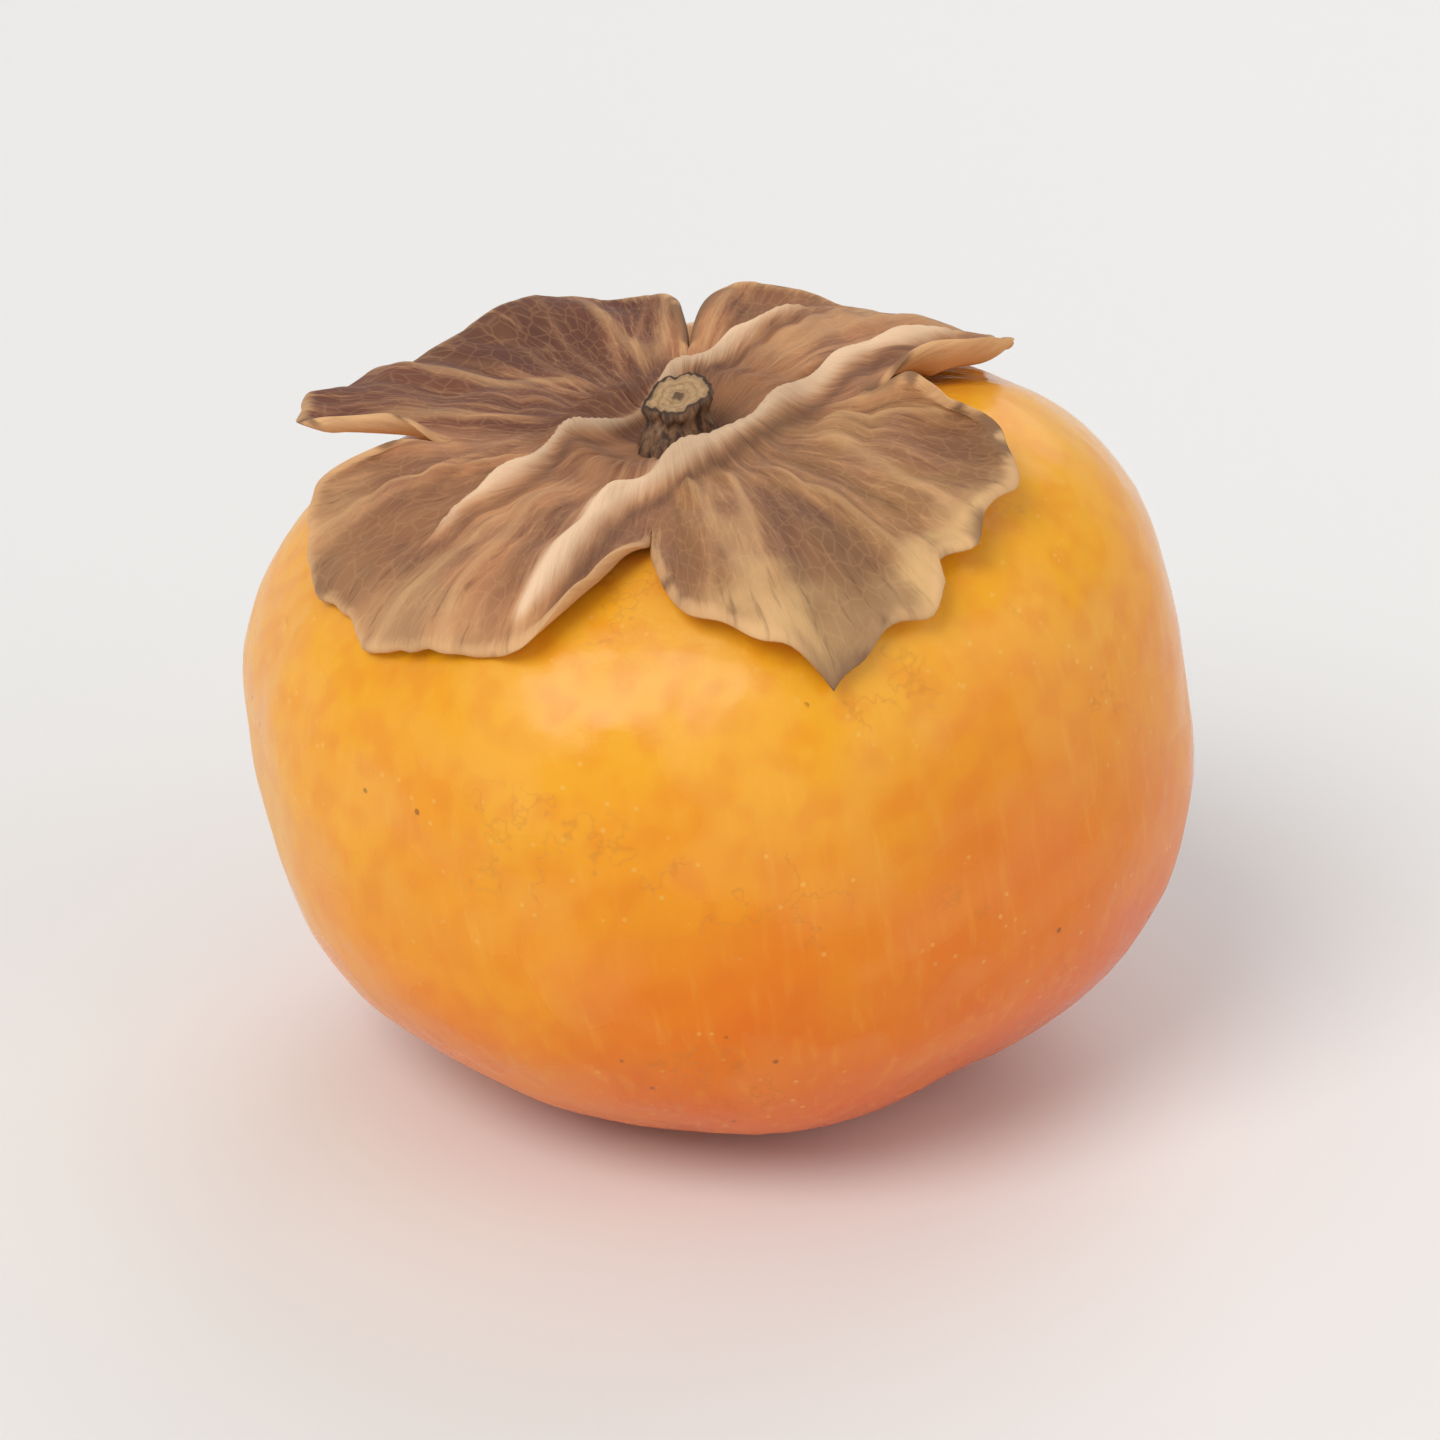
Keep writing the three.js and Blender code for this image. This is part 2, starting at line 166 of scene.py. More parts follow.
# Its folds, crumples and veins.
FAN_RADIUS = 17 * MM
FAN_STRETCH = 0.2  # how fast the folds change outwards, as a share of how fast they change around
PLEAT_LAYERS = ((1, 7.5 * MM, 21),)
PLEAT_HEIGHT = 0.55 * MM
PLEAT_FLOOR = -1.2
CRUMPLE_LAYERS = ((1, 6.5 * MM, 22),)
CRUMPLE_HEIGHT = 0.3 * MM
DISC_FOLD_LAYERS = ((0.16 * MM, 1.7 * MM, 23),)
DISC_FOLD_RANGE = (3 * MM, 8 * MM)
VEINS = (-0.84, -0.62, -0.4, -0.19, 0.0, 0.2, 0.43, 0.64, 0.86)  # across the lobe, from -1 to 1
VEINS_GATHERED = 0.72  # how close together they start, as a share of how they end
VEIN_HEIGHT = 0.17 * MM
VEIN_WIDTH = 0.28 * MM
VEIN_WOBBLE = 0.012
VEIN_WOBBLE_LENGTH = 2.1 * MM
MIDRIB_STRENGTH = 1.25
SIDE_VEIN_STRENGTH = 0.8

# The long raised creases that cross it.
CREASE_ANGLE = math.radians(47)
CREASE_RISE = 1.6 * MM
# Each crease's distance from the middle, how far it has bent away by its start, where it starts and
# ends, its rise and its half breadth. The first one runs into the margin of its lobe.
CREASES = (
    (-6.2 * MM, -2.8 * MM, -38 * MM, 29 * MM, CREASE_RISE, 1.5 * MM),
    (4.6 * MM, 0, -27 * MM, 26 * MM, 0.85 * CREASE_RISE, 1.0 * MM),
    (-2.6 * MM, 0, 2 * MM, 22 * MM, 0.5 * CREASE_RISE, 0.8 * MM),
    (9.5 * MM, 0, -22 * MM, -2 * MM, 0.45 * CREASE_RISE, 0.8 * MM),
)
CREASE_BEND_RANGE = (11 * MM, 28 * MM)
CREASE_WANDER = 0.28 * MM
CREASE_WANDER_LAYERS = ((1, 10 * MM, 36), (0.2, 3 * MM, 37))
CREASE_EVENNESS = 0.95
CREASE_UNEVEN_LAYERS = ((0.1, 6 * MM, 38),)
CREASE_RISE_LIMITS = (0.6, 1.2)
CREASE_TAPER = 14 * MM  # how far before its ends a crease begins to sink and narrow
CREASE_END_BREADTH = 0.35
CREST_ROUNDING = 0.2
CREST_STEEPNESS = 1.4
CREASE_RIM_RANGE = (0, 3 * MM)
CREASE_SOCKET_RANGE = (3 * MM, 6 * MM)
CREASE_CALM = 0.85  # how much of the folds and veins a crease takes away

# Its rolled edges.
ROLL_BAND = 3.6 * MM  # how much of a lobe's edge is rolled up
ROLL_LIMIT = 2.9  # the furthest that an edge rolls
ROLL_CHANGE_RANGE = (0.3, 0.9)  # from the tip's roll to a side's
ROLL_LAYERS = ((0.2, 0.45, 31),)
ROLL_FREE_FROM_NOTCH = 5 * MM
CURL_ONSET = 1.4  # 1 is an even curl, and more is a curl that starts gently
CURL_SAMPLES = 8

# What its colours follow.
PALE_RIM = 2.4 * MM
DIED_LAYERS = ((1, 7 * MM, 32), (0.6, 2 * MM, 33))
DIED_RANGE = (0.4, 1.4)
DIED_POINT_RANGE = (0.08, 0.16)
CLOUD_LAYERS = ((1, 9 * MM, 34), (0.5, 3 * MM, 35))
BLEACHED_RANGE = (0.72, 1.0)

STEM_LENGTH = 3.6 * MM
STEM_RADIUS = 2.1 * MM
STEM_COLLAR = 0.45 * MM
STEM_FLARE = 0.7 * MM
STEM_BEND = 0.6 * MM
STEM_RIBS = 5
RIB_DEPTH = 0.05
BARK_LAYERS = ((0.11 * MM, 1.3 * MM, 41), (0.05 * MM, 0.5 * MM, 42))
BARK_STRETCH = 0.35
CUT_SLANT = 0.22
CUT_BEVEL = 0.12 * MM
CUT_RINGS = (0.97, 0.92, 0.85, 0.76, 0.66, 0.55, 0.44, 0.33, 0.22, 0.12, 0.05)  # of its radius
CUT_DISH = 0.22 * MM
CUT_GROOVE = 0.14 * MM
PITH_RISE = 0.1 * MM
SPLINTER_LAYERS = ((0.07 * MM, 0.6 * MM, 43),)

STYLE_LENGTH = 1.7 * MM
STYLE_RADIUS = 0.9 * MM
STYLE_RANGE = (0.98, -0.15)  # from its tip to its root, as shares of its length
STYLE_ROOT = 0.1
STYLE_TAPER = 0.42
STYLE_POINT = 0.25
STYLE_LAYERS = ((0.06 * MM, 0.7 * MM, 51),)

# How fine the surfaces are.
SKIN_COLUMNS = 384
SKIN_ROWS = 250
POLE_CROWDING = 0.7
LOBE_COLUMNS = 120
DISC_ROWS = 22
LOBE_ROWS = 70
STEM_COLUMNS = 120
STEM_ROWS = 60
STYLE_COLUMNS = 48
STYLE_ROWS = 40


def smooth(x, low, high):
    t = np.clip((x - low) / (high - low), 0, 1)
    return t * t * (3 - 2 * t)


def lerp(a, b, t):
    return a + (b - a) * t


def bell(x):
    return np.exp(-x * x)


def ripple_noise(points, wavelength, seed, waves=24):
    """Smooth noise of about unit size: plane waves of about one wavelength, in all directions."""
    rng = np.random.default_rng(seed)
    directions = rng.normal(size=(waves, 3))
    directions /= np.linalg.norm(directions, axis=1, keepdims=True)
    lengths = wavelength * rng.uniform(0.7, 1.4, waves)
    phases = rng.uniform(0, TAU, waves)
    turns = points @ (directions * (TAU / lengths)[:, None]).T + phases
    return np.cos(turns).sum(-1) * math.sqrt(2 / waves)


def layered(points, layers):
    """Layers of noise, added up."""
    return sum(strength * ripple_noise(points, *layer) for strength, *layer in layers)


def unit(vectors):
    return vectors / np.linalg.norm(vectors, axis=-1, keepdims=True)


def at_angle(radius, phi, z):
    radius, phi, z = np.broadcast_arrays(radius, phi, z)
    return np.stack([radius * np.cos(phi), radius * np.sin(phi), z], -1)


def angles_round(columns):
    return np.arange(columns) * TAU / columns


# The skin, in the fruit's own frame: its axis is Z and its widest level is z = 0.


def off_lobe_line(phi):
    """How far round an angle is from the nearest lobe's middle line."""
    turned = phi - FIRST_LOBE_ANGLE
    return turned - QUARTER * np.round(turned / QUARTER)


def squareness(share):
    return smooth(share, 0, SQUARE_FROM)


def girth(phi, square):
    power = 1 / (0.5 - math.log2(WIDTH_ACROSS_CORNERS / WIDTH_ACROSS_FLATS))
    off = off_lobe_line(phi)
    corners = (np.cos(off) ** power + np.abs(np.sin(off)) ** power) ** (-1 / power)
    waves = sum(share * np.cos(n * (phi - math.radians(angle))) for n, share, angle in GIRTH_WAVES)
    return WIDTH_ACROSS_FLATS / 2 * lerp(1, corners, square) * (1 + waves)


def crown_relief(radius, phi):
    corner = (1 - np.cos(4 * off_lobe_line(phi))) / 2
    swell = SHOULDER_SWELL * corner * bell((radius - SHOULDER_RADIUS) / SHOULDER_BREADTH)
    return swell - BASIN_DEPTH * bell(radius / BASIN_RADIUS)


def blossom_relief(radius, phi):
    half_width = FURROW_HALF_WIDTH + FURROW_SPREAD * radius
    fade = 1 - smooth(radius, FURROW_REACH / 4, FURROW_REACH)
    furrow = FURROW_DEPTH * fade * bell(radius * np.sin(off_lobe_line(phi)) / half_width)
    return -furrow - DIMPLE_DEPTH * bell(radius / DIMPLE_RADIUS)


def skin_at(latitude, phi):
    """The skin at a latitude, from -QUARTER at the apex to QUARTER at the crown, and an angle."""
    latitude, phi = np.broadcast_arrays(latitude, phi)
    is_crown = latitude >= 0
    fullness = np.where(is_crown, CROWN_FULLNESS, BLOSSOM_FULLNESS)
    height = np.where(is_crown, EQUATOR_TO_CROWN, EQUATOR_TO_BLOSSOM_END)
    share = np.abs(np.cos(latitude)) ** (2 / fullness)
    rise = np.abs(np.sin(latitude)) ** (2 / fullness)
    wide = girth(phi, squareness(share))
    radius = wide * share
    shallow = 1 - OBLIQUENESS * share * np.cos(phi - LEAN_TOWARDS)
    stretch = np.where(is_crown, 1, -shallow)
    slope = np.stack([share ** (fullness - 1) / wide, rise ** (fullness - 1) / height])
    relief = np.where(is_crown, crown_relief(radius, phi), blossom_relief(radius, phi))
    out, up = slope / np.hypot(*slope) * relief
    return at_angle(radius + out, phi, stretch * (height * rise + up))


def crown_under(radius, phi):
    """The skin of the crown, and the way that it faces, under points given by radius and angle."""

    def at(r):
        wide = girth(phi, squareness(r / (WIDTH_ACROSS_FLATS / 2)))
        return skin_at(np.arccos(np.minimum(1, r / wide) ** (CROWN_FULLNESS / 2)), phi)

    step = 0.05 * MM
    here = at(radius)
    along = at(radius + step) - here
    around = np.stack([-np.sin(phi), np.cos(phi), 0 * phi], -1) + 0 * here
    return here, unit(np.cross(along, around))


# Where the fruit's own frame is: leaned over, and lifted until only PRESS of it is below z = 0.
LEAN_AXIS = Vector((-math.sin(LEAN_TOWARDS), math.cos(LEAN_TOWARDS), 0))
LEAN_TURN = np.array(Matrix.Rotation(LEAN, 3, LEAN_AXIS))


def skin_grid(rows, columns):
    u = np.linspace(0, 1, rows + 1)
    latitude = math.pi * (u - POLE_CROWDING * np.sin(TAU * u) / TAU - 0.5)
    return latitude[:, None], angles_round(columns)[None, :]


def own_frame_offset():
    """How far the leaned fruit moves to stand where its solid stands."""
    leaned = skin_at(*skin_grid(SKIN_ROWS, SKIN_COLUMNS)).reshape(-1, 3) @ LEAN_TURN.T
    middle = (leaned.min(0) + leaned.max(0)) / 2
    low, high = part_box("fruit")
    centre = (low + high) / 2
    return np.array([centre.x - middle[0], centre.y - middle[1], -leaned[:, 2].min() - PRESS])


OFFSET = own_frame_offset()


def stood(own):
    """Points of the fruit's own frame, in the frame that the part stands in."""
    return own @ LEAN_TURN.T + OFFSET


def pressed(points):
    """Presses whatever is below the surface flat onto it, with a rounded edge."""
    z = points[..., 2]
    eased = (np.clip(z, -PRESS_BLEND, PRESS_BLEND) + PRESS_BLEND) ** 2 / (4 * PRESS_BLEND)
    return np.concatenate([points[..., :2], np.where(z > PRESS_BLEND, z, eased)[..., None]], -1)


# Meshes.


def mesh_object(name, vertices, faces, attributes):
    """A smooth-shaded mesh; attributes are a name and one number or vector for each vertex."""
    mesh = bpy.data.meshes.new(name)
    mesh.from_pydata(vertices.tolist(), [], faces)
    mesh.polygons.foreach_set("use_smooth", [True] * len(mesh.polygons))
    for key, values in attributes.items():
        kind, field = ("FLOAT_VECTOR", "vector") if values.ndim == 2 else ("FLOAT", "value")
        layer = mesh.attributes.new(key, kind, "POINT")
        layer.data.foreach_set(field, values.astype(np.float32).ravel())
    mesh.update()
    piece = bpy.data.objects.new(name, mesh)
    bpy.context.scene.collection.objects.link(piece)
    return piece


def closed_faces(rings, columns):
    """The faces of a surface from a first pole, through rings of points, to a last pole."""
    ring = 1 + np.arange(rings)[:, None] * columns + np.arange(columns)[None, :]
    on = np.roll(ring, -1, axis=1)
    quads = np.stack([ring[:-1], on[:-1], on[1:], ring[1:]], -1).reshape(-1, 4).tolist()
    last = 1 + rings * columns
    first_fan = [(0, b, a) for a, b in zip(ring[0].tolist(), on[0].tolist())]
    last_fan = [(a, b, last) for a, b in zip(ring[-1].tolist(), on[-1].tolist())]
    return first_fan + quads + last_fan


def with_poles(rings):
    """Rings of values flattened, with each pole the mean of the ring beside it."""
    flat = rings.reshape(-1, *rings.shape[2:])
    return np.concatenate([rings[:1].mean(1), flat, rings[-1:].mean(1)])


def make_piece(name, own, facts, node, material):
    """A closed piece in a node's place: rings of points, and what its material asks of each."""
    attributes = {key: with_poles(values) for key, values in facts.items()}
    points = pressed(stood(with_poles(own)))
    piece = mesh_object(name, points, closed_faces(*own.shape[:2]), attributes)
    piece.data.materials.append(material)
    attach(piece, "root")
    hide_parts(node)


# Materials.

# The Mix node's sockets for colours: its factor, its two colours and its result.
MIX_FACTOR, MIX_FROM, MIX_TO, MIX_RESULT = 0, 6, 7, 2


def srgb(red, green, blue):
    """A colour given as 0 to 255 on a screen, as the linear colour that nodes work in."""
    shares = (c / 255 for c in (red, green, blue))
    return (*(s / 12.92 if s <= 0.04045 else ((s + 0.055) / 1.055) ** 2.4 for s in shares), 1)


class Paint:
    """One material's nodes. Each call adds a node and gives its output."""

    def __init__(self, name):
        self.material = bpy.data.materials.new(name)
        self.material.use_nodes = True
        self.tree = self.material.node_tree
        self.tree.nodes.clear()

    def node(self, kind, inputs, output=0, **settings):
        made = self.tree.nodes.new("ShaderNode" + kind)
        for key, value in settings.items():
            setattr(made, key, value)
        for socket, value in inputs.items():
            if isinstance(value, bpy.types.NodeSocket):
                self.tree.links.new(value, made.inputs[socket])
            else:
                made.inputs[socket].default_value = value
        return made.outputs[output]

    def attribute(self, name, output="Fac"):
        return self.node("Attribute", {}, output, attribute_name=name)

    def math(self, operation, a, b=0.0):
        return self.node("Math", {0: a, 1: b}, operation=operation)

    def times(self, a, b):
        return self.math("MULTIPLY", a, b)

    def plus(self, a, b):
        return self.math("ADD", a, b)

    def stretched(self, vector, *scale):
        return self.node("VectorMath", {0: vector, 1: scale}, operation="MULTIPLY")

    def noise(self, vector, size, detail=2.0, roughness=0.5):
        inputs = {"Vector": vector, "Scale": 1 / size, "Detail": detail, "Roughness": roughness}
        return self.node("TexNoise", inputs)

    def cells(self, vector, size, feature="F1"):
        inputs = {"Vector": vector, "Scale": 1 / size}
        return self.node("TexVoronoi", inputs, "Distance", feature=feature)

    def band(self, value, low, high, at_low=0.0, at_high=1.0):
        """Goes from at_low to at_high while value goes from low to high, eased at both ends."""
        inputs = {"Value": value, "From Min": low, "From Max": high}
        inputs.update({"To Min": at_low, "To Max": at_high})
        return self.node("MapRange", inputs, interpolation_type="SMOOTHSTEP")

    def mix(self, amount, a, b):
        inputs = {MIX_FACTOR: amount, MIX_FROM: a, MIX_TO: b}
        return self.node("Mix", inputs, MIX_RESULT, data_type="RGBA")

    def bump(self, height, distance, under=None):
        inputs = {"Height": height, "Distance": distance, "Strength": 1.0}
        if under is not None:
            inputs["Normal"] = under
        return self.node("Bump", inputs)

    def finish(self, **inputs):
        sockets = {key.replace("_", " "): value for key, value in inputs.items()}
        shader = self.node("BsdfPrincipled", sockets)
        out = self.tree.nodes.new("ShaderNodeOutputMaterial")
        self.tree.links.new(shader, out.inputs["Surface"])
        return self.material


def skin_material():
    p = Paint("persimmon_skin")
    own = p.attribute("own", "Vector")
    tone = p.attribute("tone")
    wax = p.attribute("wax")
    worn = p.attribute("worn")
    deep, orange = srgb(222, 97, 6), srgb(230, 122, 10)
    amber, yellow = srgb(237, 150, 16), srgb(241, 171, 34)
    blotch, streak, bloom = srgb(222, 100, 8), srgb(250, 186, 70), srgb(250, 206, 140)
    pore, speck, rub = srgb(250, 200, 104), srgb(122, 66, 22), srgb(186, 112, 40)

    # From deep orange at the blossom end to yellow at the crown: partly the skin's own colour, and
    # partly painted light and shade.
    colour = p.mix(p.band(tone, 0.0, 0.33), deep, orange)
    colour = p.mix(p.band(tone, 0.25, 0.6), colour, amber)
    colour = p.mix(p.band(tone, 0.6, 1.0), colour, yellow)
    colour = p.mix(p.band(p.attribute("mottle"), -1.2, 2.2, at_high=0.22), colour, blotch)

    # Fine streaks that run from the stem to the blossom end.
    streaks = p.noise(p.stretched(own, 1, 1, 0.12), size=0.9 * MM, detail=2, roughness=0.6)
    colour = p.mix(p.band(streaks, 0.5, 0.8, at_high=0.2), colour, streak)

    # Pale pores, and a few brown specks and rubbed marks.
    pores = p.times(p.band(p.cells(own, size=1.5 * MM), 0.16, 0.08), p.band(worn, 0.3, 0.7))
    colour = p.mix(p.times(pores, 0.38), colour, pore)
    specks = p.times(p.band(p.cells(own, size=4.3 * MM), 0.07, 0.04), p.band(worn, 0.5, 0.6))
    colour = p.mix(p.times(specks, 0.7), colour, speck)
    marks = p.plus(p.noise(own, size=7 * MM, detail=4, roughness=0.62), -0.5)
    rubs = p.times(p.band(p.math("ABSOLUTE", marks), 0.014, 0.0), p.band(worn, 0.76, 0.98))
    colour = p.mix(p.times(rubs, 0.27), colour, rub)
    colour = p.mix(p.times(wax, 0.07), colour, bloom)

    grain = p.noise(own, size=0.45 * MM, detail=1, roughness=0.5)
    return p.finish(
        Base_Color=colour,
        Roughness=p.plus(p.plus(0.24, p.times(wax, 0.12)), p.times(rubs, 0.2)),
        Subsurface_Weight=0.2,
        Subsurface_Radius=(1.0, 0.36, 0.08),
        Subsurface_Scale=2.4 * MM,
        IOR=1.34,
        Coat_Weight=0.12,
        Coat_Roughness=0.12,
        Normal=p.bump(grain, 0.014 * MM),
    )


def calyx_material():
    p = Paint("dry_calyx")
    fan = p.attribute("fan", "Vector")
    cloud = p.attribute("cloud")
    pleat_painted_light_and_shade = p.attribute("pleat_painted_light_and_shade")
    fibres = p.noise(p.stretched(fan, 1, 1, 0.5), size=0.42 * MM, detail=3, roughness=0.65)
    brown, taupe, dark = srgb(200, 138, 94), srgb(166, 115, 82), srgb(88, 52, 38)
    tan, straw, olive = srgb(216, 160, 112), srgb(232, 184, 130), srgb(174, 134, 82)
    maroon, bleached = srgb(96, 48, 36), srgb(222, 178, 120)
    # The crest's colour is partly the creases' own pale colour and partly a painted highlight.
    crest, middle = srgb(244, 208, 170), srgb(110, 78, 58)

    # The ground colour of each lobe.
    colour = p.mix(p.band(cloud, -1.0, 1.0), brown, taupe)
    greened = p.times(p.attribute("green"), p.band(cloud, 1.2, -1.2, at_low=0.3, at_high=0.9))
    colour = p.mix(greened, colour, olive)
    colour = p.mix(p.times(p.attribute("dark"), 0.85), colour, maroon)
    colour = p.mix(p.attribute("bleached"), colour, bleached)

    # Its fibres and veins, painted highlight and shade on its pleats, and the net of fine veins
    # between them.
    colour = p.mix(p.band(fibres, 0.5, 0.72, at_high=0.42), colour, tan)
    colour = p.mix(p.band(fibres, 0.46, 0.26, at_high=0.5), colour, dark)
    colour = p.mix(p.times(p.attribute("vein"), 0.5), colour, tan)
    # Painted highlight on the crests of the pleats, and painted shade in their hollows.
    colour = p.mix(p.band(pleat_painted_light_and_shade, 0.1, 0.6, at_high=0.3), colour, straw)
    colour = p.mix(p.band(pleat_painted_light_and_shade, -0.1, -1.1, at_high=0.45), colour, dark)
    net = p.cells(p.stretched(fan, 1, 1, 2), size=0.6 * MM, feature="DISTANCE_TO_EDGE")
    colour = p.mix(p.times(p.band(net, 0.1, 0.0), 0.1), colour, straw)

    # The long creases are pale, partly their own dry colour and partly a painted highlight on the
    # crest, with a painted shadow beside them on their shaded side.
    colour = p.mix(p.times(p.attribute("crease_painted_shadow"), 0.55), colour, dark)
    crease = p.plus(p.attribute("crease"), p.times(p.plus(fibres, -0.5), 0.25))
    colour = p.mix(p.band(crease, 0.1, 0.5, at_high=0.5), colour, tan)
    colour = p.mix(p.band(crease, 0.25, 0.75, at_high=0.9), colour, crest)

    # The undersides are paler, and show where the edge rolls over.
    colour = p.mix(p.times(p.attribute("below"), 0.5), colour, straw)

    # The edge dries first: straw-coloured, and dark where it has died back.
    edge = p.plus(p.attribute("rim"), p.times(p.plus(fibres, -0.5), 0.5))
    colour = p.mix(p.band(edge, 0.6, 1.05, at_high=0.6), colour, straw)
    died = p.times(p.attribute("died"), p.band(edge, 0.5, 1.0, at_high=0.7))
    colour = p.mix(died, colour, dark)
    # Painted shade: the disc is darker in the middle, round the stem.
    disc = p.band(p.attribute("along"), 0.12, -0.05)
    colour = p.mix(p.times(disc, 0.35), colour, middle)

    return p.finish(
        Base_Color=colour,
        Roughness=p.plus(0.66, p.times(fibres, 0.16)),
        IOR=1.4,
        Normal=p.bump(fibres, 0.13 * MM),
    )


def stem_material():
    p = Paint("stem_wood")
    own = p.attribute("own", "Vector")
    rings = p.attribute("rings")
    bark_dark, bark_pale, lichen = srgb(66, 44, 32), srgb(138, 102, 72), srgb(164, 142, 116)
    wood_dark, wood_pale = srgb(150, 112, 74), srgb(212, 178, 132)
    ring_line, pith, rind = srgb(120, 84, 54), srgb(74, 50, 34), srgb(60, 40, 28)

    bark = p.noise(p.stretched(own, 1, 1, 0.22), size=0.6 * MM, detail=5, roughness=0.65)
    colour = p.mix(p.band(bark, 0.35, 0.65), bark_dark, bark_pale)
    grey = p.band(p.noise(own, size=1.6 * MM, detail=3), 0.55, 0.7)
    colour = p.mix(p.times(grey, 0.4), colour, lichen)

    # The cut end has growth rings, a dark pith and the bark's dark edge.
    grain = p.noise(own, size=0.35 * MM, detail=4, roughness=0.7)
    wood = p.mix(grain, wood_dark, wood_pale)
    grown = p.band(p.math("SINE", p.times(rings, 26)), -0.2, 1)
    wood = p.mix(p.times(grown, 0.35), wood, ring_line)
    wood = p.mix(p.times(p.band(rings, 0.26, 0.12), 0.8), wood, pith)
    wood = p.mix(p.band(rings, 0.8, 0.92), wood, rind)
    colour = p.mix(p.attribute("cut"), colour, wood)

    cracks = p.bump(bark, 0.12 * MM)
    fuzz = p.bump(p.noise(own, size=0.16 * MM, detail=3, roughness=0.7), 0.04 * MM, cracks)
    return p.finish(Base_Color=colour, Roughness=p.plus(0.7, p.times(bark, 0.2)), Normal=fuzz)


def style_material():
    p = Paint("style_black")
    crust = p.noise(p.attribute("own", "Vector"), size=0.4 * MM, detail=4, roughness=0.65)
    colour = p.mix(p.band(crust, 0.35, 0.7), srgb(20, 14, 12), srgb(66, 44, 34))
    return p.finish(Base_Color=colour, Roughness=0.82, Normal=p.bump(crust, 0.08 * MM))


def floor_material():
    p = Paint("pale_floor")
    place = p.node("NewGeometry", {}, "Position")
    shade = p.mix(p.noise(place, size=0.4, detail=1), srgb(236, 235, 233), srgb(239, 238, 236))
    return p.finish(Base_Color=shade, Roughness=0.62)


# The fruit.


def make_fruit():
    latitude, phi = skin_grid(SKIN_ROWS, SKIN_COLUMNS)
    own = skin_at(latitude[1:-1], phi)
    rows, around = np.gradient(own, axis=0), np.roll(own, -1, 1) - np.roll(own, 1, 1)
    facing = unit(np.cross(around, rows))
    radius = np.hypot(own[..., 0], own[..., 1])
    angle = np.arctan2(own[..., 1], own[..., 0])
    pleats = np.cos(SKIN_PLEATS * angle + 2 * np.cos(5 * angle))
    pleats = pleats * bell((radius - SKIN_PLEAT_RADIUS) / SKIN_PLEAT_BREADTH)
    pleats = pleats * smooth(radius, *SKIN_PLEAT_RANGE)
    relief = layered(own, SKIN_RELIEF) + SKIN_PLEAT_DEPTH * pleats
    own = own + facing * (relief * smooth(radius, *CALM_POLE_RANGE))[..., None]

    # How the colour and the wear vary over the skin.
    cheek = smooth(unit(own) @ unit(np.array(RIPE_SIDE)), *RIPE_SIDE_RANGE)
    # The tone follows this level: partly the skin's own colour, and partly painted light and shade,
    # lighter towards the crown.
    level = own[..., 2] + layered(own, LEVEL_LAYERS)
    facts = {
        "own": own,
        "tone": smooth(level, *TONE_RANGE) - RIPE_SIDE_TONE * cheek,
        "wax": smooth(layered(own, WAX_LAYERS), *WAX_RANGE),
        "worn": smooth(layered(own, WEAR_LAYERS), *WEAR_RANGE),
        "mottle": layered(own, MOTTLE_LAYERS),
    }
    make_piece("persimmon_skin", own, facts, "fruit", skin_material())


# The calyx. Across a lobe, side is -1 or 1, and share is 0 on the middle line and 1 at a notch.


def off_tip(lobe, across):
    """How far along the edge from the tip (0) to the notch on that side (1) a point is."""
    past = across - lobe["skew"]
    return np.abs(past) / (1 - lobe["skew"] * np.sign(past))


def lobe_edge(lobe, sinus, off):
    taper = 1 - BLADE_TAPER / lobe["breadth"] * off
    blade = (1 - off**BLADE_POWER) ** BLADE_ROOT * taper
    point = np.exp(-off / POINT_BREADTH)
    return sinus + (lobe["reach"] - sinus) * lerp(blade, point, lobe["point"])


def lobe_lift(g):
    """How far the lobe is off the skin: the turned-up tip and notches, an arch and ripples."""
    lobe, radius, share = g.lobe, g.radius, g.share
    out = smooth(radius, DISC_EDGE, lobe["reach"])
    near_tip = bell((g.edge - radius) / TIP_BAND) * (1 - g.off**2)
    near_notch = share**3 * smooth(radius, g.sinus - NOTCH_BAND, g.sinus + DISC_BLEND)
    turn_up = lobe["tip"] * near_tip * out + NOTCH_LIFT_LEFT * g.notch * near_notch
    arch = LOBE_ARCH * np.sin(math.pi * share) * smooth(radius, ARCH_FROM, ARCH_FULL)
    ripple = lobe["wave"] * out * np.sin(RIPPLES * g.side * share + lobe["phase"])
    return np.maximum(0, turn_up + arch + ripple * np.maximum(near_tip, near_notch))


def disc_thickness(radius):
    body = DISC_EXTRA_THICKNESS * (1 - smooth(radius, DISC_RADIUS, DISC_EDGE + DISC_BLEND))
    return body + RIDGE_RISE * bell((radius - RIDGE_RADIUS) / RIDGE_BREADTH)


def crest_profile(x):
    """The section of a crease in dry leaf: a narrow crest and hollow flanks."""
    return np.exp(CREST_STEEPNESS * (CREST_ROUNDING - np.hypot(x, CREST_ROUNDING)))


